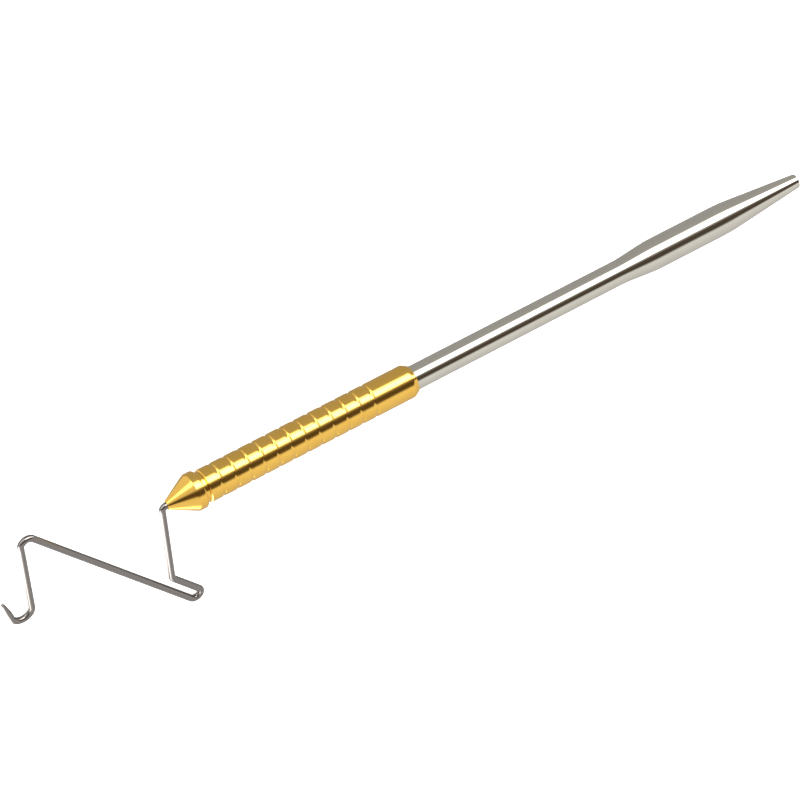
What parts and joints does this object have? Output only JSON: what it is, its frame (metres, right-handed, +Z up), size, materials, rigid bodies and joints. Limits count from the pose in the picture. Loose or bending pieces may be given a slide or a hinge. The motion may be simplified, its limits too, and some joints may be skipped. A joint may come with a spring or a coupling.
{
  "type": "whip finisher",
  "caption": "Rotary whip finisher for fly tying: bent wire hook frame, steel handle rod with a hollow half-hitch tip, and a grooved brass grip that spins on it.",
  "frame": {"origin": "middle of the bottom of the whole tool's box, on the surface the tool lies on", "axes": "+X along the handle towards the wire hook, +Y the side that the wire frame drops to, +Z up"},
  "size_m": [0.1518, 0.0342, 0.0064],
  "materials": {
    "polished_brass": "turned and polished",
    "polished_stainless": "turned and polished",
    "spring_wire": "drawn bright",
    "bush_bronze": "machined"
  },
  "bodies": {
    "rod_and_wire": {"handle_rod": "polished_stainless", "hook_wire": "spring_wire", "wire_ferrule": "bush_bronze", "retaining_ring": "spring_wire", "front_thrust_washer": "bush_bronze", "rear_thrust_washer": "bush_bronze"},
    "grip": {"grip_barrel": "polished_brass", "nose_cone": "polished_brass", "front_bush": "bush_bronze", "rear_bush": "bush_bronze"}
  },
  "joints": [
    {"name": "grip_spin", "type": "hinge", "parent": "rod_and_wire", "child": "grip", "pos_m": [0.01954, -0.00819, 0.0032], "axis": [1, 0, 0], "continuous": true}
  ]
}
